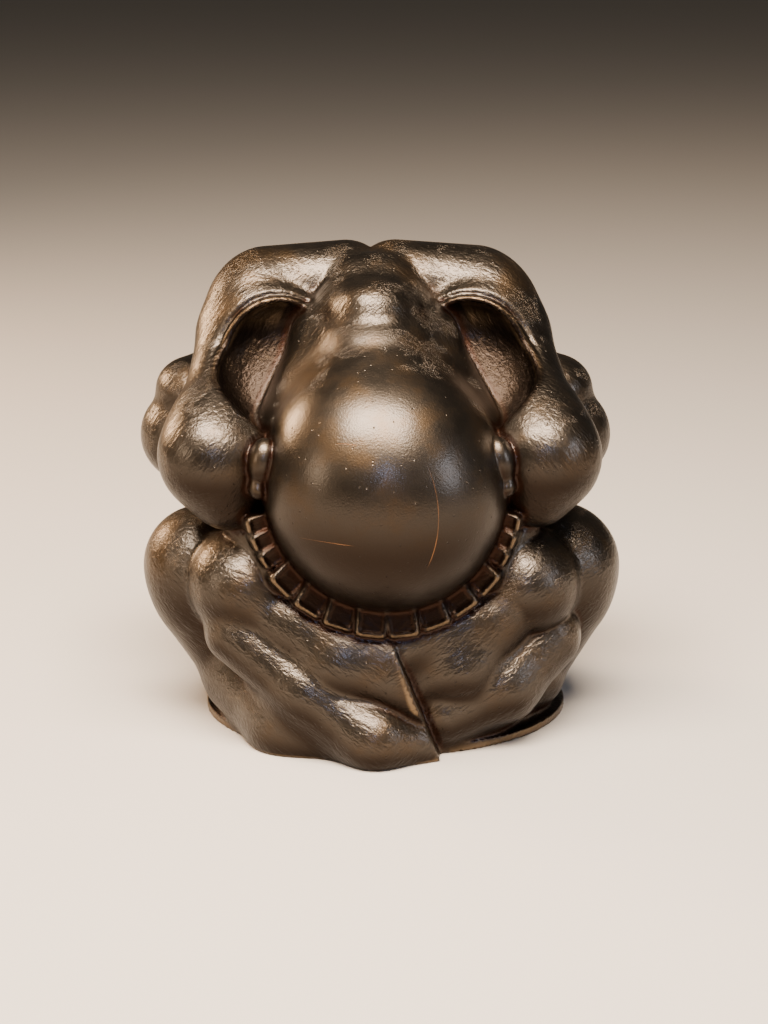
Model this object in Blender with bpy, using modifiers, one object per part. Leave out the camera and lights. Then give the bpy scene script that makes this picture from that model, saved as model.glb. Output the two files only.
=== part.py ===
"""A seated mourning figure, cast in one piece.

The figure sits on the ground with its legs crossed and its back bent. The head is bowed into both hands and
the elbows rest on the raised knees. X runs to the right of someone who faces the figure, Y to its back and
Z up, from the middle of its underside.
"""

from math import cos, radians, sin

import bmesh
import bpy
from mathutils import Matrix, Vector

# The height is the one driving size. Pose and carving are shares of it: 125 parts, 1 mm each at full size.
HEIGHT = 0.125
PART = HEIGHT / 125

# How finely the soft masses are worked, in parts, and how often each is rubbed smooth.
BODY_GRAIN = 2
LIMB_GRAIN = 1.5
DETAIL_GRAIN = 1
BODY_RUBBING = 16
LIMB_RUBBING = 9
HAND_RUBBING = 1

# The share of the worked surface's triangles that is kept.
KEPT_SHARE = 0.049

# How much the figure leans to the left of someone who faces it, per part of height, and from which height.
SWAY = 0.03
SWAY_HEIGHT = 45

# How finely balls and the balls of limbs are cut into faces, and into how many the sole's edge and a
# fingertip's rounded edges.
BALL_SEGMENTS = (36, 18)
LIMB_SEGMENTS = (28, 14)
SOLE_SEGMENTS = 72
ROUNDING_SEGMENTS = 2

# Torso, in parts: centres and radii of the masses.
RIBS = (0, 14, 70)
RIBS_RADII = (44, 34, 48)
HIPS = (0, 22, 24)
HIPS_RADII = (43.5, 33.2, 28)
BELLY = (0, -6, 46)
BELLY_RADII = (32, 22, 24)
SIDE_BACK = (36, 27, 76)
SIDE_BACK_RADII = (20, 16, 20)
FLANK_LOW = (50.8, 20, 71)
FLANK_LOW_RADII = (14.6, 15, 14.6)
FLANK_HIGH = (48.6, 20, 83.5)
FLANK_HIGH_RADII = (12, 13, 11.4)
SHOULDER_BLADE = (23, 34, 86)
SHOULDER_BLADE_RADII = (15, 11, 18)
SHOULDER_BLADE_TILT = 14
SPINE_LOW = (0, 56.5, 58)
SPINE_HIGH = (0, 44, 112)
SPINE_RADIUS = 11

# Shoulders and arms: one roll that runs from the nape over the shoulder down to the elbow.
NAPE_SIDE = (6.5, 13, 113.2)
SHOULDER_TOP = (27.5, 12, 111.4)
ROLL_RADII = (12, 13.3)
SHOULDER_OUTER = (32.8, 7, 102.4)
SHOULDER_OUTER_RADII = (12.8, 14, 15.6)
UPPER_ARM = ((36.6, 4, 100), (40.2, -14, 86), 10, 10.6)
UPPER_ARM_BACK = ((34.5, 16, 96), (38.5, -4, 74), 13, 11.6)
ELBOW = (41.6, -24, 76.5)
ELBOW_RADII = (15.3, 15, 15)
ELBOW_TIP = (39.2, -25, 66.4)
ELBOW_TIP_RADII = (12, 9.6)
FOREARM = ((38, -18, 60), (26, -29, 47), 5, 5.5)

# The shallow bowl between arm and neck, which leans back along the neck. The space is first filled with a web.
WEB = (27, 0, 95)
WEB_RADII = (18, 12, 21)
WEB_TILT = -5
BOWL = (22.5, -17, 97.4)
BOWL_RADII = (17.8, 10.2, 18.4)
BOWL_LEAN = 35

# Head and neck: a pear whose stalk is the nape, between two neck muscles.
CROWN = (0.8, -28, 67.5)
CROWN_RADII = (30.5, 30, 30.4)
NECK = ((0.6, -25.5, 74), (0, -9, 103), 28.3, 11.6)
NAPE = ((0, 7, 112), (0, -9, 105.5), 10.2, 9.8)
NAPE_SWELLING = (0, -18.5, 103)
NAPE_SWELLING_RADII = (9.4, 8.4, 6.5)
NAPE_KNOB = (0, -14.2, 111.6)
NAPE_KNOB_RADII = (6.4, 7.2, 5.9)
NECK_MUSCLE = (((4, 4, 112.2), 9.2), ((13, -6, 102), 8.7), ((22.5, -15, 82), 9))
EAR = (30.2, -30.5, 80)
EAR_RADII = (3.4, 6, 6.8)
EAR_TILT = -8
EAR_LOBE = (30.8, -31, 73)
EAR_LOBE_RADII = (2.9, 5, 3.8)

# Legs: the figure's right leg, on the left of someone who faces it, crosses over the other one. Each has a
# shin, an outer swelling and a calf, as chains of places with a radius. X is counted from the leg's own side.
HIP_JOINT = (26, 24, 24)
THIGH_END = (46, -6, 41.5)
THIGH_RADII = (22, 16.7)
THIGH_UNDERSIDE = ((45.2, -4, 33), (36, -4, 13), 15, 12.3)
KNEE = (38.5, -23, 43.5)
KNEE_RADII = (11.9, 11.9, 12.3)
UPPER_LEG = (
    (((31, -24, 37), 10.1), ((11, -31, 22.5), 11.3), ((-6, -31.5, 20), 11.9)),
    (((36, -26.5, 31), 8), ((18, -36.4, 16.5), 7.2), ((2, -41.6, 4.8), 7), ((-8, -33, 3.6), 6)),
    (((36, -6, 13), 12.8), ((16, -22, 8), 13), ((0, -30, 6), 12.8)),
)
UNDER_LEG = (
    (((30, -25, 36), 9.9), ((18, -30, 22.5), 8.9), ((4, -29, 18), 8.9)),
    (((43, -20, 28), 8.9), ((31, -28.4, 15), 8.5), ((16, -29.5, 8.6), 8.3)),
    (((36, -6, 13), 12.8), ((4, -25, 6), 12.4)),
)
CROSSING_EDGE = (1, 0, 33)
CROSSING_TILT = 21
CROSSING_BLOCK = 80
LAP = (0, -19, 28)
LAP_RADII = (24, 14, 14)
FEET = (0, 4, 1.1)
FEET_RADII = (48.5, 41.2)
FEET_THICKNESS = 2.2
SEAT = (0, 4, 0)
SEAT_RADII = (45.6, 39.4, 17)

# Hands: four fingertips and a thumb each side, set round the lower edge of the head. The ring's set back is
# in parts a degree.
PALM = (12, -25, 44)
PALM_RADII = (15, 11, 10)
RING_CENTRE = (0, -35.5, 68.5)
RING_RADII = (33, 32.4)
RING_SET_BACK = 0.1
RING_LEAN = -14
RING_ROUNDING = 1.1
FINGERS_A_HAND = 4
FIRST_FINGER_ANGLE = 6.8
FINGER_PITCH = 13.8
FINGER_SIZE = (6.9, 14.2, 8.2)
THUMB_CREASES = 3
FIRST_THUMB_ANGLE = 60.5
THUMB_PITCH = 8
THUMB_SIZE = (4, 14.2, 6.8)

# The block of ground that is cut away beneath the figure.
GROUND_BLOCK = 200

BRONZE_COLOUR = (0.060, 0.046, 0.034, 1)
BRONZE_ROUGHNESS = 0.38


def clear_scene():
    for thing in list(bpy.data.objects):
        bpy.data.objects.remove(thing, do_unlink=True)


def new_collection(name):
    collection = bpy.data.collections.new(name)
    bpy.context.scene.collection.children.link(collection)
    return collection


def dark_bronze():
    """Dark patinated bronze: a brown-black metal with a soft waxed sheen."""
    material = bpy.data.materials.new("dark_patinated_bronze")
    material.use_nodes = True
    shader = material.node_tree.nodes["Principled BSDF"]
    shader.inputs["Base Color"].default_value = BRONZE_COLOUR
    shader.inputs["Metallic"].default_value = 1
    shader.inputs["Roughness"].default_value = BRONZE_ROUGHNESS
    return material


def on_side(side, place):
    """A place of the figure, on the right for side 1 and on the left for side -1, moved by the sway."""
    x, y, z = place
    return Vector((side * x - SWAY * (z - SWAY_HEIGHT), y, z)) * PART


def add_ball(form, centre, radii, tilt=0, lean=0, side=1):
    """An ellipsoid: a sphere stretched to its radii, leant back about X, tilted about Y and moved."""
    stretch = Matrix.Diagonal((radii[0] * PART, radii[1] * PART, radii[2] * PART, 1))
    turn = Matrix.Rotation(radians(side * tilt), 4, "Y") @ Matrix.Rotation(radians(-lean), 4, "X")
    place = Matrix.Translation(on_side(side, centre)) @ turn @ stretch
    around, across = BALL_SEGMENTS
    bmesh.ops.create_uvsphere(form, u_segments=around, v_segments=across, radius=1, matrix=place)


def add_limb(form, start, end, start_radius, end_radius, side=1):
    """A tapered round limb: the tightest skin round a ball at each end."""
    limb = bmesh.new()
    around, across = LIMB_SEGMENTS
    for centre, radius in ((start, start_radius), (end, end_radius)):
        place = Matrix.Translation(on_side(side, centre))
        bmesh.ops.create_uvsphere(limb, u_segments=around, v_segments=across, radius=radius * PART, matrix=place)
    bmesh.ops.delete(limb, geom=limb.edges[:], context="EDGES_FACES")
    skin = bmesh.ops.convex_hull(limb, input=limb.verts[:])
    spare = {item for item in skin["geom_interior"] + skin["geom_unused"] if isinstance(item, bmesh.types.BMVert)}
    bmesh.ops.delete(limb, geom=list(spare), context="VERTS")
    bmesh.ops.recalc_face_normals(limb, faces=limb.faces[:])
    mesh = bpy.data.meshes.new("limb")
    limb.to_mesh(mesh)
    limb.free()
    form.from_mesh(mesh)
    bpy.data.meshes.remove(mesh)


def add_chain(form, knots, side=1):
    """Limbs run one into the next, through knots of a place and a radius."""
    for (start, start_radius), (end, end_radius) in zip(knots, knots[1:]):
        add_limb(form, start, end, start_radius, end_radius, side=side)


def add_pair(form, add, *sizes, **more):
    """The same form on both sides."""
    for side in (-1, 1):
        add(form, *sizes, side=side, **more)


def finished(form, name, collection):
    """The form as an object."""
    mesh = bpy.data.meshes.new(name)
    form.to_mesh(mesh)
    form.free()
    thing = bpy.data.objects.new(name, mesh)
    collection.objects.link(thing)
    return thing


def as_tool(thing):
    """Marks an object as one that only shapes the figure."""
    thing.hide_render = True
    thing.display_type = "WIRE"
    return thing


def melt(thing, grain):
    """Turns a thing's overlapping forms into one skin."""
    step = thing.modifiers.new("melt", "REMESH")
    step.mode = "VOXEL"
    step.voxel_size = grain * PART


def rub(thing, rounds):
    """Rubs a thing's skin smooth."""
    step = thing.modifiers.new("rub", "SMOOTH")
    step.factor = 0.5
    step.iterations = rounds


def soften(thing, grain, rubbing):
    """Melts a thing's forms together and rubs them smooth."""
    melt(thing, grain)
    rub(thing, rubbing)
    return thing


def combine(thing, tool, operation, solver="MANIFOLD"):
    """Joins a tool to a thing, or cuts it away.

    Softened skins share the planes of one lattice, which the exact solver can't part, so they take the other.
    """
    step = thing.modifiers.new(tool.name, "BOOLEAN")
    step.operation = operation
    step.solver = solver
    step.object = tool


def spine(collection):
    """The furrow of the spine."""
    form = bmesh.new()
    add_limb(form, SPINE_LOW, SPINE_HIGH, SPINE_RADIUS, SPINE_RADIUS)
    return as_tool(finished(form, "spine", collection))


def torso(collection, tools):
    """Rib cage, hips, the broad muscles of the back and the web between arm and neck."""
    form = bmesh.new()
    add_ball(form, RIBS, RIBS_RADII)
    add_ball(form, HIPS, HIPS_RADII)
    add_ball(form, BELLY, BELLY_RADII)
    add_pair(form, add_ball, SIDE_BACK, SIDE_BACK_RADII)
    add_pair(form, add_ball, FLANK_LOW, FLANK_LOW_RADII)
    add_pair(form, add_ball, FLANK_HIGH, FLANK_HIGH_RADII)
    add_pair(form, add_ball, SHOULDER_BLADE, SHOULDER_BLADE_RADII, tilt=SHOULDER_BLADE_TILT)
    add_pair(form, add_ball, WEB, WEB_RADII, tilt=WEB_TILT)
    thing = finished(form, "seated_figure", collection)
    melt(thing, BODY_GRAIN)
    combine(thing, spine(tools), "DIFFERENCE")
    rub(thing, BODY_RUBBING)
    return thing


def arms(collection):
    """The roll of back, shoulder and upper arm, down to the elbow on the knee."""
    form = bmesh.new()
    add_pair(form, add_limb, NAPE_SIDE, SHOULDER_TOP, *ROLL_RADII)
    add_pair(form, add_ball, SHOULDER_OUTER, SHOULDER_OUTER_RADII)
    add_pair(form, add_limb, *UPPER_ARM)
    add_pair(form, add_limb, *UPPER_ARM_BACK)
    add_pair(form, add_ball, ELBOW, ELBOW_RADII)
    add_pair(form, add_limb, ELBOW, ELBOW_TIP, *ELBOW_TIP_RADII)
    return as_tool(soften(finished(form, "arms", collection), LIMB_GRAIN, LIMB_RUBBING))


def bowls(collection):
    """What is scooped out between arm and neck."""
    form = bmesh.new()
    add_pair(form, add_ball, BOWL, BOWL_RADII, lean=BOWL_LEAN)
    return as_tool(finished(form, "bowls", collection))


def head(collection):
    """The bowed head, its nape and the two muscles beside it."""
    form = bmesh.new()
    add_ball(form, CROWN, CROWN_RADII)
    add_limb(form, *NECK)
    add_limb(form, *NAPE)
    add_ball(form, NAPE_SWELLING, NAPE_SWELLING_RADII)
    add_ball(form, NAPE_KNOB, NAPE_KNOB_RADII)
    add_pair(form, add_chain, NECK_MUSCLE)
    add_pair(form, add_ball, EAR, EAR_RADII, tilt=EAR_TILT)
    add_pair(form, add_ball, EAR_LOBE, EAR_LOBE_RADII)
    return as_tool(soften(finished(form, "head", collection), DETAIL_GRAIN, LIMB_RUBBING))


def leg(collection, name, side, swellings):
    """Shin, outer swelling and calf, from the knee across to the other side."""
    form = bmesh.new()
    for knots in swellings:
        add_chain(form, knots, side=side)
    return as_tool(soften(finished(form, name, collection), LIMB_GRAIN, LIMB_RUBBING))


def crossing_cut(collection):
    """The block that ends the upper leg along the line where it crosses the lower one."""
    form = bmesh.new()
    turn = Matrix.Rotation(radians(-CROSSING_TILT), 4, "Y")
    middle = Matrix.Translation((CROSSING_BLOCK / 2 * PART, 0, 0))
    place = Matrix.Translation(on_side(1, CROSSING_EDGE)) @ turn @ middle
    bmesh.ops.create_cube(form, size=CROSSING_BLOCK * PART, matrix=place)
    return as_tool(finished(form, "crossing_cut", collection))


def lap(collection):
    """Thighs, knees, what lies between the legs, and the low mass that they rest on."""
    form = bmesh.new()
    add_pair(form, add_limb, HIP_JOINT, THIGH_END, *THIGH_RADII)
    add_pair(form, add_limb, *THIGH_UNDERSIDE)
    add_pair(form, add_ball, KNEE, KNEE_RADII)
    add_ball(form, LAP, LAP_RADII)
    add_ball(form, SEAT, SEAT_RADII)
    return as_tool(soften(finished(form, "lap", collection), LIMB_GRAIN, LIMB_RUBBING))


def feet(collection):
    """The feet tucked under the legs: a thin oval sole that shows at the bottom edge."""
    form = bmesh.new()
    stretch = Matrix.Diagonal((FEET_RADII[0] * PART, FEET_RADII[1] * PART, FEET_THICKNESS * PART, 1))
    place = Matrix.Translation(on_side(1, FEET)) @ stretch
    bmesh.ops.create_cone(
        form, cap_ends=True, segments=SOLE_SEGMENTS, radius1=1, radius2=1, depth=1, matrix=place
    )
    return as_tool(finished(form, "feet", collection))


def add_ring_block(form, degrees, size, side=1):
    """A rounded block whose face looks out from the ring round the head, so many degrees from its foot."""
    angle = radians(degrees)
    centre = (
        RING_CENTRE[0] + RING_RADII[0] * sin(angle),
        RING_CENTRE[1] + RING_SET_BACK * degrees,
        RING_CENTRE[2] - RING_RADII[1] * cos(angle),
    )
    turn = Matrix.Rotation(-side * angle, 4, "Y") @ Matrix.Rotation(radians(RING_LEAN), 4, "X")
    stretch = Matrix.Diagonal((size[0] * PART, size[1] * PART, size[2] * PART, 1))
    block = bmesh.new()
    bmesh.ops.create_cube(block, size=1, matrix=Matrix.Translation(on_side(side, centre)) @ turn @ stretch)
    bmesh.ops.bevel(
        block,
        geom=block.edges[:],
        offset=RING_ROUNDING * PART,
        segments=ROUNDING_SEGMENTS,
        affect="EDGES",
        profile=0.5,
    )
    mesh = bpy.data.meshes.new("ring_block")
    block.to_mesh(mesh)
    block.free()
    form.from_mesh(mesh)
    bpy.data.meshes.remove(mesh)


def hands(collection):
    """Forearms, palms, fingertips and thumbs."""
    form = bmesh.new()
    add_pair(form, add_limb, *FOREARM)
    add_pair(form, add_ball, PALM, PALM_RADII)
    for number in range(FINGERS_A_HAND):
        add_pair(form, add_ring_block, FIRST_FINGER_ANGLE + FINGER_PITCH * number, FINGER_SIZE)
    for number in range(THUMB_CREASES):
        add_pair(form, add_ring_block, FIRST_THUMB_ANGLE + THUMB_PITCH * number, THUMB_SIZE)
    return as_tool(soften(finished(form, "hands", collection), DETAIL_GRAIN, HAND_RUBBING))


def ground_cut(collection):
    """What lies below the ground, which leaves the flat underside."""
    form = bmesh.new()
    place = Matrix.Translation((0, 0, -GROUND_BLOCK / 2 * PART))
    bmesh.ops.create_cube(form, size=GROUND_BLOCK * PART, matrix=place)
    return as_tool(finished(form, "ground_cut", collection))


def thin_out(thing):
    """Works the joined forms into one skin and keeps the triangles that carry its shape."""
    melt(thing, DETAIL_GRAIN)
    thin = thing.modifiers.new("thin", "DECIMATE")
    thin.ratio = KEPT_SHARE
    thin.use_collapse_triangulate = True


def build():
    clear_scene()
    parts = new_collection("seated_mourning_figure")
    tools = new_collection("shaping_tools")
    figure = torso(parts, tools)
    upper_leg = leg(tools, "upper_leg", -1, UPPER_LEG)
    combine(upper_leg, crossing_cut(tools), "DIFFERENCE")
    combine(figure, arms(tools), "UNION")
    combine(figure, bowls(tools), "DIFFERENCE")
    combine(figure, head(tools), "UNION")
    combine(figure, lap(tools), "UNION")
    combine(figure, leg(tools, "under_leg", 1, UNDER_LEG), "UNION")
    combine(figure, upper_leg, "UNION")
    combine(figure, feet(tools), "UNION")
    combine(figure, hands(tools), "UNION")
    thin_out(figure)
    combine(figure, ground_cut(tools), "DIFFERENCE", solver="EXACT")
    figure.data.materials.append(dark_bronze())


build()
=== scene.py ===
"""A seated mourning figure: a small bronze cast in one piece, with a dark, waxed and handled patina.

The figure is worked out as a distance field, the way a modeller builds up clay: masses are melted together,
hollows are scooped out, and creases and lips follow. A net of squares is then laid over its zero surface.
Lengths are in parts of the figure's height, as on the solid that the figure stands for, and X runs to the
right of someone who faces it, Y to its back and Z up.
"""

from math import cos, radians, sin

import bpy
import numpy as np
from mathutils import Matrix, Vector


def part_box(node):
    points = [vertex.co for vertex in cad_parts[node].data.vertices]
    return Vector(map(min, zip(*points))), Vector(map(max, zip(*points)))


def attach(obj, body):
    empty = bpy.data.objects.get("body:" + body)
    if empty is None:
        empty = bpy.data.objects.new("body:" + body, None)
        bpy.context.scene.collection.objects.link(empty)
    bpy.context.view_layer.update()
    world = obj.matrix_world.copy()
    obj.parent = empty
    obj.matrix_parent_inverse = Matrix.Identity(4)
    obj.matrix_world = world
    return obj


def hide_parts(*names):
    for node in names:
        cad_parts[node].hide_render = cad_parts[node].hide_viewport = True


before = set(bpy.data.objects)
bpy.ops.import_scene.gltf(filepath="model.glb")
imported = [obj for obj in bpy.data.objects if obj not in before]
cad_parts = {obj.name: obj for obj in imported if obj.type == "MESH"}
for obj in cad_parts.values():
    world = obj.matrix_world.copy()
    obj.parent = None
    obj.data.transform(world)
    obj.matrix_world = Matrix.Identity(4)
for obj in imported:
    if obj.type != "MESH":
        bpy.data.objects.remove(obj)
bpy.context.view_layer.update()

HEIGHT_IN_PARTS = 125
NODE = "seated_figure"
low_corner, high_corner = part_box(NODE)
PART = (high_corner.z - low_corner.z) / HEIGHT_IN_PARTS

# The spacing of the net, in parts, how far it reaches past the solid's box, and the most triangles it keeps.
NET_STEP = 0.72
NET_MARGIN = 3
MOST_TRIANGLES = 190000

# The fine grid is sampled in blocks of so many steps, where the surface is within so many blocks.
BLOCK_STEPS = 4
NEAR_BLOCKS = 1.35

# How far off the surface its hollows and edges are felt for, in parts.
FEELER = 2.4

# How much the figure leans over to the left of someone who faces it, per part of height, and from where.
SWAY = 0.03
SWAY_HEIGHT = 45

# The bowl between arm and neck: its middle, half sizes, lean in degrees and how deep its flat floor lies.
BOWL_CENTRE = (22.5, -17, 97.4)
BOWL_RADII = (17.8, 11.4, 18.4)
BOWL_LEAN = 35
BOWL_DEPTH = 9.4

# The groove outside the bowl's rim: how far out, how deep and how wide. It fades in above a height and fades
# out to the back.
GROOVE_OUT = 2.4
GROOVE_DEPTH = 0.9
GROOVE_WIDTH = 0.8
GROOVE_FOOT, GROOVE_RISE = 98, 10
GROOVE_BACK, GROOVE_FADE = 6, 4

# The legs as chains of knots, each a place and a radius. The first leg crosses over and is seen mirrored.
OVER_SHIN = (((31, -24, 37), 9.8), ((12, -31, 24.4), 11), ((-7, -32, 19), 12.2))
OVER_OUTER = (((38, -25, 30), 8.6), ((20.5, -33.4, 17), 8.6), ((4, -39.4, 6), 8.6), ((-9, -34, 3), 8))
OVER_CALF = (((36, -8, 13), 13), ((24, -24, 6), 13.2), ((6, -31, 5), 12))
UNDER_SHIN = (((30, -25, 36), 9.6), ((18, -30, 22.5), 9.2), ((4, -29, 18), 9))
UNDER_OUTER = (((41, -18.6, 26.5), 10), ((29, -26.4, 16), 9.8), ((14, -29, 10), 9.6))
UNDER_CALF = (((36, -6, 13), 12.4), ((20, -19, 7), 11.4), ((4, -25, 6), 12))
LEG_REACH = 4
MIRRORED = np.array((-1, 1, 1), np.float32)

# The plane that cuts the upper leg off where it crosses: a place on it and the way it faces.
CROSSING_PLACE = np.array((1, 0, 33), np.float32)
CROSSING_FACE = np.array((0.943, 0, 0.333), np.float32)

# The sole that shows along the ground: its middle, half sizes, half thickness and rounding.
SOLE_CENTRE = (0, 4, 0)
SOLE_RADII = (47.8, 40.5, 30)
SOLE_HALF_THICKNESS = 1.5
SOLE_ROUNDING = 0.7

# The ring round the head that the fingertips stand on: half width and half height, the height of its middle,
# how far forward its foot lies, how far back it drifts per degree, and how the tips lean, in degrees.
RING_WIDTH = 33
RING_HEIGHT = 32.4
RING_MIDDLE = 68.5
RING_FRONT = -35.5
RING_DRIFT = 0.1
TIP_LEAN = 14

# Fingertips and, after them, the creases of the thumb: degrees along the ring, and half sizes.
FINGERS = [(6.8 + 13.8 * number, (2.7, 5.6, 2.8)) for number in range(4)]
FINGERS += [(60.5 + 8 * number, (1.1, 5.6, 2.1)) for number in range(3)]
TIP_ROUNDING = 1.4

# The dish in a fingertip's face: its share of the tip, half depth, how far off the face, and rounding.
DISH_SHARE = 0.72
DISH_HALF_DEPTH = 0.2
DISH_OFF = 2.1
DISH_ROUNDING = 1.2


# Masses

def turned(axis, angle):
    """The matrix of a turn about an axis, in degrees."""
    return np.array(Matrix.Rotation(radians(angle), 3, axis), np.float32)


def egg(p, centre, radii, tilt=0, lean=0):
    """Distance to an ellipsoid: with k the point's length in units of the radii and g that of its slope,
    k (k - 1) / g. It is tilted to the side about Y, and leans back about X."""
    q = p - np.asarray(centre, np.float32)
    if tilt or lean:
        q = q @ (turned("Y", tilt) @ turned("X", -lean))
    r = np.asarray(radii, np.float32)
    k = np.sqrt(((q / r) ** 2).sum(-1))
    g = np.sqrt(((q / (r * r)) ** 2).sum(-1)) + 1e-9
    return k * (k - 1) / g


def limb(p, start, end, start_radius, end_radius):
    """Distance to a limb with round ends: balls along its axis, from one radius to the other. With x along
    the axis, y away from it and s the fall of the radius per length, the nearest ball sits at
    x - y s / sqrt(1 - s^2)."""
    a, b = np.asarray(start, np.float32), np.asarray(end, np.float32)
    length = np.sqrt(((b - a) ** 2).sum())
    x = (p - a) @ ((b - a) / length)
    y = np.sqrt(np.maximum(((p - a) ** 2).sum(-1) - x * x, 0))
    fall = (start_radius - end_radius) / length
    ball = np.clip(x - y * fall / np.sqrt(1 - fall * fall), 0, length)
    return np.sqrt((x - ball) ** 2 + y * y) - (start_radius - fall * ball)


def block(p, half, rounding):
    """Distance to a box about the origin, grown by the rounding of its edges."""
    past = np.abs(p) - half
    return np.sqrt((np.maximum(past, 0) ** 2).sum(-1)) + np.minimum(past.max(-1), 0) - rounding


def melted(a, b, reach):
    """Two masses run together: the smaller distance, less (reach - gap)^2 / 4 reach where they are near."""
    gap = np.maximum(reach - np.abs(a - b), 0)
    return np.minimum(a, b) - gap * gap / (4 * reach)


def gathered(d, *masses):
    """A mass with others melted onto it one after another, each over its own reach."""
    for mass, reach in masses:
        d = melted(d, mass, reach)
    return d


def scooped(a, b, reach):
    """A mass with another taken out of it, its rim rounded over the reach."""
    return -melted(-a, b, reach)


def pressed(d, away, depth, width):
    """A furrow: the surface sinks by depth on a line and recovers as a bell curve of the distance from it."""
    return d + depth * np.exp(-((away / width) ** 2))


def chain(p, knots, reach):
    """Limbs run one into the next, through knots of a place and a radius."""
    limbs = [limb(p, start, end, start_radius, end_radius)
             for (start, start_radius), (end, end_radius) in zip(knots, knots[1:])]
    return gathered(limbs[0], *((part, reach) for part in limbs[1:]))


def torso(q):
    """Rib cage, belly and hips under the bent back, with the broad back muscles that show past the arms."""
    rib_cage = egg(q, (0, 14, 70), (44, 34, 48))
    hips = egg(q, (0, 22, 24), (43.5, 32.5, 28))
    belly = egg(q, (0, -6, 46), (32, 22, 24))
    shoulder_blade = egg(q, (23, 34, 86), (15, 11, 18), -14)
    broad_muscle = egg(q, (36, 27, 76), (20, 16, 20))
    side = egg(q, (50.6, 20, 71), (13, 13.5, 13))
    side_top = egg(q, (48.4, 20, 83.5), (10.4, 12, 9))
    spine = limb(q, (0, 56.5, 58), (0, 44, 112), 11, 11)
    d = gathered(rib_cage, (hips, 12), (belly, 8), (shoulder_blade, 8), (broad_muscle, 8))
    return scooped(gathered(d, (side, 5), (side_top, 3)), spine, 5)


def arm(q):
    """The roll that runs from the nape over the shoulder, and the upper arm down to the elbow."""
    roll = limb(q, (6.5, 13, 113.2), (27, 12, 110.6), 11.6, 12.8)
    shoulder = egg(q, (32.6, 7, 102.4), (12.2, 13.5, 15))
    front_of_arm = limb(q, (36.6, 4, 100), (40.2, -14, 86), 9.4, 9.8)
    back_of_arm = limb(q, (34.5, 16, 96), (38.5, -4, 74), 12.5, 11)
    elbow = egg(q, (41.6, -24, 76.5), (14.4, 14, 14))
    tip_of_elbow = limb(q, (41, -24, 73), (39.2, -25, 66), 11, 8.4)
    return gathered(roll, (shoulder, 8), (front_of_arm, 5), (back_of_arm, 5), (elbow, 10), (tip_of_elbow, 5))


def hollow(q):
    """The shallow bowl between arm and neck, which leans back along the neck and has a flat floor."""
    past_floor = (q - np.array(BOWL_CENTRE, np.float32)) @ turned("X", -BOWL_LEAN)[:, 1] - BOWL_DEPTH
    return -melted(-egg(q, BOWL_CENTRE, BOWL_RADII, 0, BOWL_LEAN), -past_floor, 3)


def web(q):
    """What fills the space between arm and neck before it is scooped out."""
    return egg(q, (27, 0, 95), (18, 12, 21), -5)


def neck_muscle(q):
    """The band of muscle that comes down from the nape past the ear."""
    at_nape = limb(q, (4, 4, 112.2), (13, -6, 102), 8.8, 8.2)
    inner = limb(q, (7, -2, 106), (13, -14, 88), 8, 9)
    at_ear = limb(q, (13, -6, 102), (22.5, -15, 82), 8.2, 8.6)
    return gathered(at_nape, (inner, 4), (at_ear, 3))


def head(p):
    """The bowed head: a pear whose stalk is the nape, with the knob of the lowest neck bone."""
    skull = egg(p, (0.8, -28, 67.5), (30.2, 29.2, 30.2))
    back_of_head = limb(p, (0.6, -25.5, 74), (0, -9, 103), 28, 11)
    nape = limb(p, (0, 7, 112), (0, -9, 105.5), 9.8, 9.4)
    under_knob = egg(p, (0, -17, 104.5), (10.5, 7.6, 4.4))
    knob = egg(p, (0, -11.8, 112.4), (8, 7.2, 5.6))
    return gathered(skull, (back_of_head, 8), (nape, 6), (under_knob, 4.5), (knob, 5))


def ear(q):
    """An ear pressed between head and arm: a rounded shell with its lobe below."""
    shell = egg(q, (29.4, -34.2, 77.6), (3.8, 4.6, 6), -14)
    lobe = egg(q, (30.8, -34.4, 70.8), (2.5, 3.6, 3), 15)
    return melted(shell, lobe, 1.4)


def crossed_leg(p, shin, outer, calf, furrow):
    """Shin and calf of one leg: two long swellings with a furrow between them, the calf beneath, and the
    soft top that the fingers lie on."""
    soft_top = limb(p, (20, -29, 34), (-4, -34, 26), 8, 8)
    d = melted(chain(p, shin, LEG_REACH), soft_top, LEG_REACH)
    return gathered(d, (chain(p, outer, LEG_REACH), furrow), (chain(p, calf, LEG_REACH), LEG_REACH))


def legs(p, q):
    """Thighs, knees and shins. The shin on the left of someone who faces the figure crosses over the other,
    and its edge is a plane that leans."""
    thigh = limb(q, (26, 24, 24), (46.6, -4.5, 41.5), 22, 16.2)
    side_of_shin = limb(q, (45.2, -4, 33), (36, -4, 13), 14.6, 11.8)
    knee = egg(q, (35.8, -18.6, 41), (14.8, 15.6, 14.6))
    lap = egg(q, (0, -23, 29.5), (24, 14, 13))
    over = crossed_leg(p * MIRRORED, OVER_SHIN, OVER_OUTER, OVER_CALF, 1.7)
    over = scooped(over, -((p - CROSSING_PLACE) @ CROSSING_FACE), 0.8)
    under = crossed_leg(p, UNDER_SHIN, UNDER_OUTER, UNDER_CALF, 2.2)
    return gathered(thigh, (side_of_shin, 5), (knee, 2), (over, 2.5), (under, 0.8), (lap, 4))


def feet(p):
    """The feet tucked under the legs: a thin sole with a rounded edge along the ground."""
    around = egg(p * np.array([1, 1, 0], np.float32), SOLE_CENTRE, SOLE_RADII)
    sole = np.maximum(around, np.abs(p[:, 2]) - SOLE_HALF_THICKNESS) - SOLE_ROUNDING
    heels = egg(p, SOLE_CENTRE, (45.6, 39.4, 17))
    return melted(sole, heels, 1.6)


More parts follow.
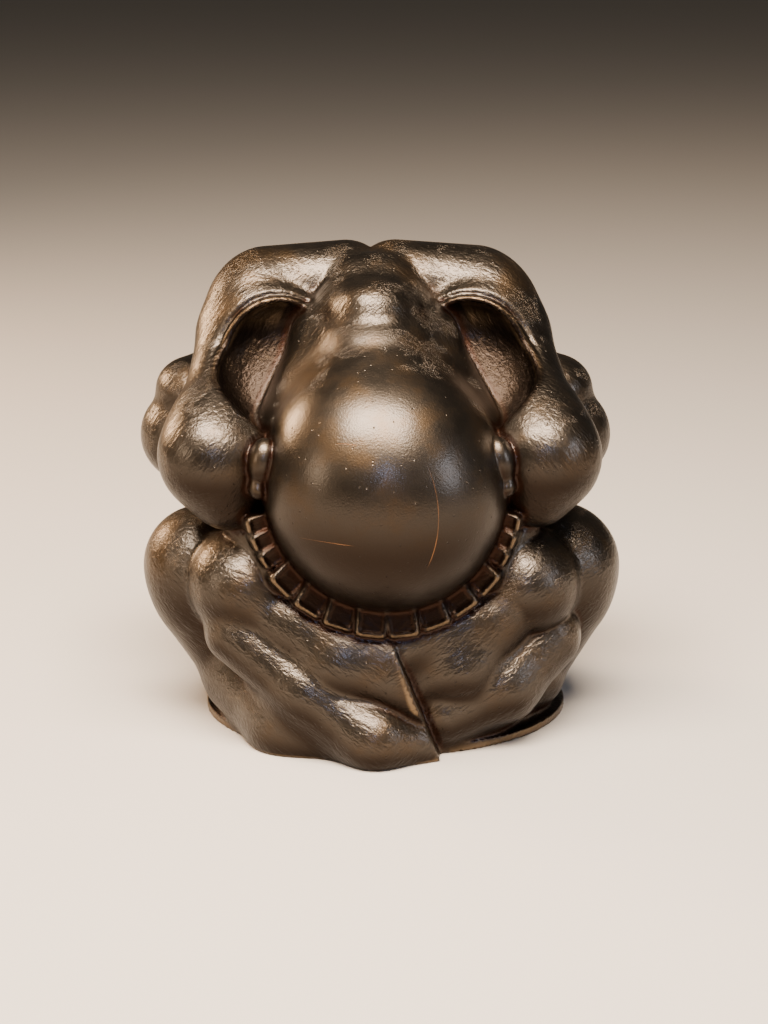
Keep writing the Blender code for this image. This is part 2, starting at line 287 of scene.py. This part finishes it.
def on_ring(q, degrees):
    """Points as seen from a place on the ring round the head, so many degrees from its foot."""
    angle = radians(degrees)
    height = RING_MIDDLE - RING_HEIGHT * cos(angle)
    centre = (RING_WIDTH * sin(angle), RING_FRONT + RING_DRIFT * degrees, height)
    return (q - np.asarray(centre, np.float32)) @ (turned("Y", -degrees) @ turned("X", -TIP_LEAN))


def dish(r, half_size):
    """The shallow dish in the face of a fingertip."""
    half = np.array([half_size[0] * DISH_SHARE, DISH_HALF_DEPTH, half_size[2] * DISH_SHARE], np.float32)
    return block(r + np.array([0, half_size[1] + DISH_OFF, 0], np.float32), half, DISH_ROUNDING)


def hands(q):
    """Forearms, palms, four fingertips and the thumb's creases on each side."""
    palm = egg(q, (12, -25, 44), (15, 11, 10))
    forearm = limb(q, (38, -18, 60), (26, -29, 47), 5, 5.5)
    d = melted(palm, forearm, 2)
    for degrees, half_size in FINGERS:
        r = on_ring(q, degrees)
        tip = block(r, np.asarray(half_size, np.float32), TIP_ROUNDING)
        d = melted(d, scooped(tip, dish(r, half_size), 0.5), 0.8)
    return d


def fingertip_faces(q):
    """Distance to the dishes in the fingertips."""
    return np.min([dish(on_ring(q, degrees), half_size) for degrees, half_size in FINGERS], axis=0)


def upright(p):
    """Points with the sway taken out, as they are and all brought over to the right half."""
    p = np.array(p, np.float32)
    p[:, 0] += SWAY * (p[:, 2] - SWAY_HEIGHT)
    q = p.copy()
    q[:, 0] = np.abs(q[:, 0])
    return p, q


def figure(p):
    """Distance to the whole figure, from points in parts: the ground cuts it flat."""
    p, q = upright(p)
    bowl = hollow(q)
    d = gathered(torso(q), (web(q), 5), (arm(q), 2))
    d = scooped(d, bowl, 1.0)
    risen = np.clip((q[:, 2] - GROOVE_FOOT) / GROOVE_RISE, 0, 1)
    in_front = np.clip((GROOVE_BACK - q[:, 1]) / GROOVE_FADE, 0, 1)
    d = pressed(d, bowl - GROOVE_OUT, GROOVE_DEPTH * (risen * in_front), GROOVE_WIDTH)
    neck_and_head = melted(neck_muscle(q), head(p), 7)
    d = gathered(d, (neck_and_head, 1.5), (ear(q), 0.8), (legs(p, q), 1.5), (feet(p), 1.5), (hands(q), 1.0))
    return np.maximum(d, -p[:, 2])


# The net over the surface

def in_shares(distance, p, share=250000):
    """The distance at many points, worked out a share at a time."""
    return np.concatenate([distance(some) for some in np.array_split(p, len(p) // share + 1)])


def slope(distance, p, reach=0.25):
    """The direction in which the distance grows, from its values a little to each side."""
    result = np.empty_like(p)
    for axis in range(3):
        shift = np.zeros(3, np.float32)
        shift[axis] = reach
        result[:, axis] = (in_shares(distance, p + shift) - in_shares(distance, p - shift)) / (2 * reach)
    return result


def settled(distance, knots, step, rounds=3):
    """The knots moved onto the surface: by the distance over the slope, at most half a step each round."""
    for _ in range(rounds):
        g = slope(distance, knots)
        move = g * (in_shares(distance, knots) / np.maximum((g * g).sum(-1), 0.3))[:, None]
        length = np.sqrt((move ** 2).sum(-1, keepdims=True))
        knots = knots - move * np.minimum(1, step * 0.5 / np.maximum(length, 1e-9))
    return knots


def sampled(distance, low, high, step):
    """The distance on a grid: everywhere on a coarse one, and on the fine one only near the surface."""
    size = step * BLOCK_STEPS
    counts = [int(np.ceil((b - a) / size)) for a, b in zip(low, high)]
    coarse = [a + (np.arange(n, dtype=np.float32) + 0.5) * step * BLOCK_STEPS for a, n in zip(low, counts)]
    middles = np.stack(np.meshgrid(*coarse, indexing="ij"), -1).reshape(-1, 3)
    fill = in_shares(distance, middles).reshape(counts)
    near = np.abs(fill) < size * NEAR_BLOCKS
    for axis in range(3):
        near = np.repeat(near, BLOCK_STEPS, axis)
        fill = np.repeat(fill, BLOCK_STEPS, axis)
    where = np.argwhere(near)
    fine = fill.astype(np.float32)
    points = (where * step + np.asarray(low)).astype(np.float32)
    fine[tuple(where.T)] = in_shares(distance, points)
    return fine


def edge_ends(axis):
    """The slices of a grid that hold the first and the second end of each of its edges along an axis."""
    first, second = [slice(None)] * 3, [slice(None)] * 3
    first[axis], second[axis] = slice(0, -1), slice(1, None)
    return first, second


def knots_on(value, low, step):
    """One knot in each grid cell that the surface passes through, at the mean of the places where it crosses
    the cell's edges, and each cell's knot by number."""
    cells = [n - 1 for n in value.shape]
    total = np.zeros(cells + [3], np.float32)
    count = np.zeros(cells, np.float32)
    for axis in range(3):
        u, v = [other for other in range(3) if other != axis]
        for du, dv in ((0, 0), (0, 1), (1, 0), (1, 1)):
            first, second = edge_ends(axis)
            first[u] = second[u] = slice(du, du + cells[u])
            first[v] = second[v] = slice(dv, dv + cells[v])
            a, b = value[tuple(first)], value[tuple(second)]
            crossed = (a < 0) != (b < 0)
            total[..., axis] += crossed * a / np.where(crossed, a - b, 1)
            total[..., u] += crossed * du
            total[..., v] += crossed * dv
            count += crossed
    used = count > 0
    number = np.full(cells, -1, np.int64)
    number[used] = np.arange(used.sum())
    knots = (np.argwhere(used) + total[used] / count[used][:, None]) * step + np.asarray(low)
    return knots.astype(np.float32), number


def squares_on(inside, number):
    """One square for each grid edge that the surface crosses, through the knots of the four cells round it,
    with its corners in the order that makes it face outwards."""
    squares = []
    for axis in range(3):
        u, v = (axis + 1) % 3, (axis + 2) % 3
        first, second = edge_ends(axis)
        begins_inside = inside[tuple(first)]
        edges = np.argwhere(begins_inside != inside[tuple(second)])
        away = begins_inside[tuple(edges.T)]
        corners = []
        for back_u, back_v in ((1, 1), (0, 1), (0, 0), (1, 0)):
            cell = edges.copy()
            cell[:, u] -= back_u
            cell[:, v] -= back_v
            corners.append(number[tuple(cell.T)])
        square = np.stack(corners, 1)
        square[~away] = square[~away][:, ::-1]
        squares.append(square)
    return np.concatenate(squares)


def net(distance, low, high, step):
    """A net of squares over the zero surface, its knots moved onto the surface along its slope."""
    value = sampled(distance, low, high, step)
    knots, number = knots_on(value, low, step)
    return settled(distance, knots, step), squares_on(value < 0, number)


def mesh_of(knots, squares):
    """A mesh from knots in parts and squares of knot numbers."""
    mesh = bpy.data.meshes.new("net")
    mesh.vertices.add(len(knots))
    mesh.vertices.foreach_set("co", (knots * PART).astype(np.float32).ravel())
    mesh.loops.add(squares.size)
    mesh.loops.foreach_set("vertex_index", squares.astype(np.int32).ravel())
    mesh.polygons.add(len(squares))
    mesh.polygons.foreach_set("loop_start", (np.arange(len(squares)) * 4).astype(np.int32))
    mesh.update(calc_edges=True)
    mesh.validate()
    return mesh


def thinned(mesh, most):
    """The mesh with its flattest faces merged until it has no more triangles than wanted."""
    mesh.calc_loop_triangles()
    carrier = bpy.data.objects.new("carrier", mesh)
    bpy.context.scene.collection.objects.link(carrier)
    step = carrier.modifiers.new("thin", "DECIMATE")
    step.ratio = min(1, most / len(mesh.loop_triangles))
    step.use_collapse_triangulate = True
    carrier_now = carrier.evaluated_get(bpy.context.evaluated_depsgraph_get())
    result = bpy.data.meshes.new_from_object(carrier_now)
    bpy.data.objects.remove(carrier)
    return result


def felt_at(knots, normals):
    """What the patina and the painted light and shade follow, from 0 to 1 at each knot: how deep in a
    hollow it lies and how sharp an edge it sits on, which is how far the distance a feeler's length outwards
    or inwards falls short of the feeler, how far it faces up, from 0 for down to 1, and whether it lies in a
    bowl or in a fingertip's dish, which are kept dark as painted shade."""
    outwards = in_shares(figure, (knots + normals * FEELER).astype(np.float32))
    inwards = in_shares(figure, (knots - normals * FEELER).astype(np.float32))
    p, q = upright(knots)
    off_neck = np.clip(np.minimum(neck_muscle(q), head(p)) / 2, 0, 1)
    # The bowls and the fingertips' dishes, where painted shade is put.
    in_bowls = np.clip(1.5 - np.abs(hollow(q)) / 2, 0, 1) * off_neck
    in_dishes = 1.6 - np.abs(fingertip_faces(q)) * 2
    return {"hollow": 1 - outwards / FEELER,
            "edge": 1 + inwards / FEELER,
            "upward": (1 + normals[:, 2]) / 2,
            "painted_recess_shade": np.maximum(in_bowls, in_dishes)}


def cast_figure():
    """The figure as one mesh, in place of the solid, with the field's own slope as its normals."""
    margin = np.full(3, NET_MARGIN)
    low = np.array(low_corner) / PART - margin
    high = np.array(high_corner) / PART + margin
    mesh = thinned(mesh_of(*net(figure, low, high, NET_STEP)), MOST_TRIANGLES)
    mesh.name = "cast_figure"
    knots = np.empty(len(mesh.vertices) * 3, np.float32)
    mesh.vertices.foreach_get("co", knots)
    knots = settled(figure, knots.reshape(-1, 3) / PART, NET_STEP, 2)
    normals = slope(figure, knots)
    normals /= np.sqrt((normals ** 2).sum(-1, keepdims=True)) + 1e-9
    mesh.vertices.foreach_set("co", (knots * PART).astype(np.float32).ravel())
    for name, value in felt_at(knots, normals).items():
        layer = mesh.attributes.new(name, "FLOAT", "POINT")
        layer.data.foreach_set("value", np.clip(value, 0, 1).astype(np.float32))
    mesh.update()
    mesh.shade_smooth()
    mesh.normals_split_custom_set_from_vertices(normals.astype(np.float32))
    piece = bpy.data.objects.new("cast_figure", mesh)
    bpy.context.scene.collection.objects.link(piece)
    return piece


# Materials

# The patina's colours: on faces turned down, darkened as painted shade, on faces that look up, lightened as
# painted light from above and by rubbing, where the brown shows through, wax and dirt in the hollows, worn
# metal, and metal laid bare by a scratch.
PAINTED_SHADE_PATINA = "#211a15"
PAINTED_LIT_RUBBED_PATINA = "#47413a"
BROWN_PATINA = "#4d4031"
DIRTY_WAX = "#26160e"
WORN_METAL = "#75634d"
BARE_METAL = "#a9764c"
BOARD = "#cfcac3"

# Tool strokes: degrees from level, how much they are squeezed lengthwise and their width in millimetres.
# Files and rifflers leave strokes of about half this width, which wouldn't show, so they are drawn coarser.
SHIN_STROKES = (37, 0.30, 1.0)
ARM_STROKES = (-55, 0.34, 1.11)
HATCH_STROKES = ((20, 0.05, 0.667), (-35, 0.05, 0.625))

# The heights between which the strokes change over, and how far apart the two sides' patterns lie, in metres.
STROKES_CHANGE = (0.050, 0.062)
SIDES_APART = 0.05

# Sizes of the other patterns, in millimetres: patches of wear, blotches of colour, the spacing of the cells
# that pits lie in, and the cast skin's grain, which is about half as wide and is drawn coarser to show.
PATCHES = 9.09
BLOTCHES = 13.33
PIT_CELLS = 1.613
GRAIN = 0.435

# The middle of the crown, in metres, which hands have rubbed smooth, and from where on the tooling returns.
CROWN = (0, -0.026, 0.072)
CROWN_SMOOTH = (0.033, 0.042)

# The scratches on the crown, in metres: the axes that they run along and across, the middle and the half of
# their length, their offset and bend, and their width.
SCRATCHES = (
    ("Z", "X", 0.0683, 0.014, 0.0121, -15.5, 0.00015),
    ("X", "Z", -0.0148, 0.007, 0.0622, -6.0, 0.00011),
    ("X", "Z", -0.0098, 0.0028, 0.0862, -30.0, 0.00011))

# How much each pattern adds to the bump's height, whose full depth is in metres.
GRAIN_HEIGHT, HATCH_HEIGHT, PIT_HEIGHT, SCRATCH_HEIGHT = 0.22, -0.16, -0.5, -0.4
BUMP_DEPTH = 0.0003

# Kinds of node and settings that come again and again: a soft range from 0 to 1, one from 1 to 0, products,
# products with a sum, and a mix of colours, whose result is its third output.
MATH, RANGE, MIX, NOISE = "ShaderNodeMath", "ShaderNodeMapRange", "ShaderNodeMix", "ShaderNodeTexNoise"
RISING = {"interpolation_type": "SMOOTHSTEP"}
FALLING = {"interpolation_type": "SMOOTHSTEP", 3: 1.0, 4: 0.0}
TIMES = {"operation": "MULTIPLY"}
TIMES_AND_PLUS = {"operation": "MULTIPLY_ADD"}
COLOURS = {"data_type": "RGBA"}
MIXED = 2


def linear(hex_colour):
    """A hex colour's sRGB values as linear light, with full alpha."""
    values = [int(hex_colour[i:i + 2], 16) / 255 for i in (1, 3, 5)]
    return tuple(v / 12.92 if v <= 0.04045 else ((v + 0.055) / 1.055) ** 2.4 for v in values) + (1.0,)


def per_metre(size):
    """A pattern's scale on coordinates in metres, from the size of one of its marks in millimetres."""
    return 1000 / size


def add_node(tree, kind, settings, output=0):
    """An output of a new node. Its settings name a property or an input, and an input takes a constant or
    another node's output, which is linked to it."""
    node = tree.nodes.new(kind)
    for key, value in settings.items():
        if isinstance(value, bpy.types.NodeSocket):
            tree.links.new(value, node.inputs[key])
        elif isinstance(key, str) and hasattr(node, key):
            setattr(node, key, value)
        else:
            node.inputs[key].default_value = value
    return node.outputs[output]


def strokes(tree, mirrored, deep, degrees, squeeze, width):
    """Noise drawn out into strokes: its coordinates are turned by the strokes' angle, as
    run = x cos + z sin and rise = z cos - x sin, and the run is squeezed."""
    c, s = cos(radians(degrees)), sin(radians(degrees))
    dot = {"operation": "DOT_PRODUCT", 0: mirrored}
    run = add_node(tree, "ShaderNodeVectorMath", {**dot, 1: (c * squeeze, 0, s * squeeze)}, "Value")
    rise = add_node(tree, "ShaderNodeVectorMath", {**dot, 1: (-s, 0, c)}, "Value")
    along = add_node(tree, "ShaderNodeCombineXYZ", {0: run, 1: deep, 2: rise})
    settings = {"Scale": per_metre(width), "Detail": 2.0, "Distortion": 0.6, "Vector": along}
    return add_node(tree, NOISE, settings)


def hair_lines(tree, noise):
    """Fine lines where the noise passes through its middle value."""
    off = add_node(tree, MATH, {"operation": "SUBTRACT", 0: noise, 1: 0.5})
    away = add_node(tree, MATH, {"operation": "ABSOLUTE", 0: off})
    return add_node(tree, RANGE, {**FALLING, 0: away, 1: 0.004, 2: 0.016})


def casting_pits(tree, place):
    """Pits of about 0.4 mm, one in about a quarter of the cells."""
    settings = {"Scale": per_metre(PIT_CELLS), "Vector": place}
    away = add_node(tree, "ShaderNodeTexVoronoi", settings, "Distance")
    pick = add_node(tree, "ShaderNodeSeparateColor", {0: away.node.outputs["Color"]})
    pit = add_node(tree, RANGE, {**FALLING, 0: away, 1: 0.06, 2: 0.2})
    picked = add_node(tree, RANGE, {**RISING, 0: pick, 1: 0.72, 2: 0.8})
    return add_node(tree, MATH, {**TIMES, 0: pit, 1: picked})


def scratch(tree, along, across, middle, half_length, offset, bend, width):
    """A fine scratch: where across = offset + bend (along - middle)^2, within its length."""
    run = add_node(tree, MATH, {"operation": "SUBTRACT", 0: along, 1: middle})
    squared = add_node(tree, MATH, {**TIMES, 0: run, 1: run})
    curve = add_node(tree, MATH, {**TIMES_AND_PLUS, 0: squared, 1: bend, 2: offset})
    off = add_node(tree, MATH, {"operation": "SUBTRACT", 0: across, 1: curve})
    away = add_node(tree, MATH, {"operation": "ABSOLUTE", 0: off})
    far = add_node(tree, MATH, {"operation": "ABSOLUTE", 0: run})
    line = add_node(tree, RANGE, {**FALLING, 0: away, 1: width * 0.4, 2: width})
    within = add_node(tree, RANGE, {**FALLING, 0: far, 1: half_length * 0.6, 2: half_length})
    return add_node(tree, MATH, {**TIMES, 0: line, 1: within})


def patinated_bronze():
    """Cast bronze with a brown-black patina under rubbed wax: nearly black metal with soft, broad and quite
    bright highlights, a sharper sheen from the wax, reddish brown where wax and dirt lie in the hollows, and
    coppery metal on worn edges and in scratches. Fine hand tooling covers all of it. Faces that look up are
    painted lighter and faces turned down darker, as painted light and painted shade."""
    material = bpy.data.materials.new("patinated_waxed_bronze")
    material.use_nodes = True
    tree = material.node_tree
    shader = tree.nodes["Principled BSDF"]
    place = add_node(tree, "ShaderNodeTexCoord", {}, "Object")
    across, back, up = add_node(tree, "ShaderNodeSeparateXYZ", {0: place}).node.outputs
    hollow_felt, edge, upward, painted_recess_shade = [
        add_node(tree, "ShaderNodeAttribute", {"attribute_name": name}, "Fac")
        for name in ("hollow", "edge", "upward", "painted_recess_shade")]

    # Faces that look up are painted lighter, as painted light from above together with rubbing by hands, and
    # faces turned down keep the dark colour as painted shade.
    facing_up = add_node(tree, RANGE, {**RISING, 0: upward, 1: 0.32, 2: 0.7})
    # The bowls and the fingertips' dishes are kept dark as painted shade, without the painted light from
    # above.
    clear_of_painted_recess_shade = add_node(tree, RANGE, {**RISING, 0: painted_recess_shade, 3: 1.0, 4: 0.05})
    painted_toplight_and_rubbing = add_node(tree, MATH, {**TIMES, 0: facing_up, 1: clear_of_painted_recess_shade})

    # Tooling runs along the limbs: down the shins below, and the other way over arms and back above.
    aside = add_node(tree, MATH, {"operation": "ABSOLUTE", 0: across})
    side = add_node(tree, MATH, {"operation": "SIGN", 0: across})
    deep = add_node(tree, MATH, {**TIMES_AND_PLUS, 0: side, 1: SIDES_APART, 2: back})
    mirrored = add_node(tree, "ShaderNodeCombineXYZ", {0: aside, 1: deep, 2: up})
    on_shins = strokes(tree, mirrored, deep, *SHIN_STROKES)
    on_arms = strokes(tree, mirrored, deep, *ARM_STROKES)
    above = add_node(tree, RANGE, {**RISING, 0: up, 1: STROKES_CHANGE[0], 2: STROKES_CHANGE[1]})
    tooling = add_node(tree, MIX, {**COLOURS, 0: above, 6: on_shins, 7: on_arms}, MIXED)

    # Hair-fine hatching in two directions, in patches, everywhere but on the front of the head and shins.
    patches = add_node(tree, NOISE, {"Scale": per_metre(PATCHES), "Detail": 2.0, "Vector": place})
    one, other = [hair_lines(tree, strokes(tree, mirrored, deep, *sizes)) for sizes in HATCH_STROKES]
    both = add_node(tree, MATH, {"operation": "MAXIMUM", 0: one, 1: other})
    in_patches = add_node(tree, RANGE, {**RISING, 0: patches, 1: 0.48, 2: 0.62})
    behind = add_node(tree, RANGE, {**RISING, 0: back, 1: -0.038, 2: -0.030})
    patchy = add_node(tree, MATH, {**TIMES, 0: both, 1: in_patches})
    hatch = add_node(tree, MATH, {**TIMES, 0: patchy, 1: behind})

    pits = casting_pits(tree, place)

    # The scratches that show on the crown, each broken up by wear.
    lines = {"X": across, "Z": up}
    first, *others = [scratch(tree, lines[run], lines[over], *sizes) for run, over, *sizes in SCRATCHES]
    for another in others:
        first = add_node(tree, MATH, {"operation": "MAXIMUM", 0: first, 1: another})
    front = add_node(tree, RANGE, {**FALLING, 0: back, 1: -0.045, 2: -0.040})
    worn_away = add_node(tree, RANGE, {**RISING, 0: patches, 1: 0.35, 2: 0.6, 3: 0.15, 4: 0.9})
    broken = add_node(tree, MATH, {**TIMES, 0: first, 1: worn_away})
    scratches = add_node(tree, MATH, {**TIMES, 0: broken, 1: front})

    blotch_settings = {"Scale": per_metre(BLOTCHES), "Detail": 4.0, "Roughness": 0.6, "Vector": place}
    blotches = add_node(tree, NOISE, blotch_settings)
    brown = add_node(tree, RANGE, {**RISING, 0: blotches, 1: 0.45, 2: 0.7})
    dirty = add_node(tree, RANGE, {**RISING, 0: hollow_felt, 1: 0.12, 2: 0.55})
    sharp = add_node(tree, RANGE, {**RISING, 0: edge, 1: 0.22, 2: 0.6})
    open_to_wear = add_node(tree, RANGE, {**FALLING, 0: hollow_felt, 2: 0.1})
    worn = add_node(tree, MATH, {**TIMES, 0: sharp, 1: open_to_wear})
    # The lit colour on faces that look up, painted light from above and rubbing, with brown blotches in it.
    bright_settings = {**COLOURS, 0: brown, 6: linear(PAINTED_LIT_RUBBED_PATINA), 7: linear(BROWN_PATINA)}
    bright = add_node(tree, MIX, bright_settings, MIXED)
    # Painted shade on faces turned down, painted light on faces that look up.
    colour = add_node(tree, MIX, {**COLOURS, 0: painted_toplight_and_rubbing, 6: linear(PAINTED_SHADE_PATINA), 7: bright}, MIXED)
    for pattern, amount, laid_over in (
            (dirty, 1.0, DIRTY_WAX),
            (worn, 0.75, WORN_METAL),
            (hatch, 0.16, WORN_METAL),
            (scratches, 0.45, BARE_METAL)):
        share = add_node(tree, MATH, {**TIMES, 0: pattern, 1: amount})
        colour = add_node(tree, MIX, {**COLOURS, 0: share, 6: colour, 7: linear(laid_over)}, MIXED)
    tree.links.new(colour, shader.inputs["Base Color"])
    shader.inputs["Metallic"].default_value = 1.0

    # Wax evens the metal out where hands polish it. Dirt in the hollows is dull.
    uneven = add_node(tree, RANGE, {**RISING, 0: blotches, 1: 0.3, 2: 0.7, 3: 0.33, 4: 0.43})
    dull = add_node(tree, RANGE, {**RISING, 0: hollow_felt, 1: 0.1, 2: 0.6})
    roughness = add_node(tree, MATH, {**TIMES_AND_PLUS, 0: dull, 1: 0.16, 2: uneven})
    coat = add_node(tree, MATH, {**TIMES_AND_PLUS, 0: painted_toplight_and_rubbing, 1: 0.35, 2: 0.05})
    tree.links.new(roughness, shader.inputs["Roughness"])
    tree.links.new(coat, shader.inputs["Coat Weight"])
    shader.inputs["Coat Roughness"].default_value = 0.2

    grain = add_node(tree, NOISE, {"Scale": per_metre(GRAIN), "Detail": 2.0, "Vector": place})
    distance_settings = {"operation": "DISTANCE", 0: place, 1: CROWN}
    from_crown = add_node(tree, "ShaderNodeVectorMath", distance_settings, "Value")
    smooth_settings = {**RISING, 0: from_crown, 1: CROWN_SMOOTH[0], 2: CROWN_SMOOTH[1], 3: 0.15, 4: 1.0}
    off_crown = add_node(tree, RANGE, smooth_settings)
    height = add_node(tree, MATH, {**TIMES, 0: tooling, 1: off_crown})
    for pattern, amount in (
            (grain, GRAIN_HEIGHT), (hatch, HATCH_HEIGHT), (pits, PIT_HEIGHT), (scratches, SCRATCH_HEIGHT)):
        height = add_node(tree, MATH, {**TIMES_AND_PLUS, 0: pattern, 1: amount, 2: height})
    normal = add_node(tree, "ShaderNodeBump", {"Strength": 0.75, "Distance": BUMP_DEPTH, "Height": height})
    tree.links.new(normal, shader.inputs["Normal"])
    tree.links.new(normal, shader.inputs["Coat Normal"])
    return material


def pale_floor():
    """Smooth matt board, pale and warm grey."""
    material = bpy.data.materials.new("matt_board")
    material.use_nodes = True
    shader = material.node_tree.nodes["Principled BSDF"]
    shader.inputs["Base Color"].default_value = linear(BOARD)
    shader.inputs["Roughness"].default_value = 0.7
    return material


# Stage

FLOOR_HALF = 6.0

# Each light: its place and width by height in metres, its watts and colour. All of them face the figure.
FACED = (0, -0.01, 0.065)
LIGHTS = {
    "overhead_box": ((-0.05, -0.28, 0.64), (0.56, 0.32), 25.0, "#ffe9d2"),
    "rim_box": ((-0.55, 0.34, 0.30), (0.22, 0.22), 5.0, "#ffd2a3"),
    "left_window": ((-0.64, -0.32, 0.24), (0.18, 0.26), 1.2, "#ffe3c4"),
    "cool_window": ((0.02, -0.92, 0.44), (0.09, 0.07), 0.9, "#b9ccff"),
    "right_window": ((0.62, -0.36, 0.26), (0.18, 0.26), 1.2, "#e2e6f4")}
SKY = "#8a837b"
SKY_STRENGTH = 0.2

# The camera: its place in metres before it swings to the left of the front, the swing and how far it looks
# down, in degrees, and its lens and sensor in millimetres.
CAMERA_PLACE = (0.00075, -0.5787, 0.2204)
CAMERA_SWING = -1.8
CAMERA_DOWN = 16
CAMERA_LENS = 80
CAMERA_SENSOR = 36


def lay_floor():
    """A square of floor under the figure, which belongs to the stage."""
    corners = [(x * FLOOR_HALF, y * FLOOR_HALF, 0) for x, y in ((-1, -1), (1, -1), (1, 1), (-1, 1))]
    mesh = bpy.data.meshes.new("floor")
    mesh.from_pydata(corners, [], [(0, 1, 2, 3)])
    floor = bpy.data.objects.new("floor", mesh)
    floor.data.materials.append(pale_floor())
    bpy.context.scene.collection.objects.link(floor)


def soft_light(name, place, size, watts, colour):
    """A soft box at a place, which faces the figure."""
    lamp = bpy.data.lights.new(name, "AREA")
    lamp.shape = "RECTANGLE"
    lamp.size, lamp.size_y = size
    lamp.energy = watts
    lamp.color = linear(colour)[:3]
    light = bpy.data.objects.new(name, lamp)
    light.location = place
    light.rotation_euler = (Vector(FACED) - Vector(place)).to_track_quat("-Z", "Y").to_euler()
    bpy.context.scene.collection.objects.link(light)


def set_lights():
    """A large soft box over the figure, a low rim light from the back left, three dim windows in front and
    to the sides, and a dim sky all round."""
    for name, values in LIGHTS.items():
        soft_light(name, *values)
    world = bpy.data.worlds.new("studio")
    world.use_nodes = True
    sky = world.node_tree.nodes["Background"]
    sky.inputs["Color"].default_value = linear(SKY)
    sky.inputs["Strength"].default_value = SKY_STRENGTH
    bpy.context.scene.world = world


def set_camera():
    """The photograph's view: from about 0.6 m, 16 degrees down and 2 degrees to the left of the front."""
    lens = bpy.data.cameras.new("camera")
    lens.lens = CAMERA_LENS
    lens.sensor_width = CAMERA_SENSOR
    camera = bpy.data.objects.new("camera", lens)
    camera.location = Matrix.Rotation(radians(CAMERA_SWING), 3, "Z") @ Vector(CAMERA_PLACE)
    camera.rotation_euler = (radians(90 - CAMERA_DOWN), 0, radians(CAMERA_SWING))
    bpy.context.scene.collection.objects.link(camera)
    bpy.context.scene.camera = camera


statue = cast_figure()
statue.data.materials.append(patinated_bronze())
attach(statue, "root")
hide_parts(NODE)
lay_floor()
set_lights()
set_camera()
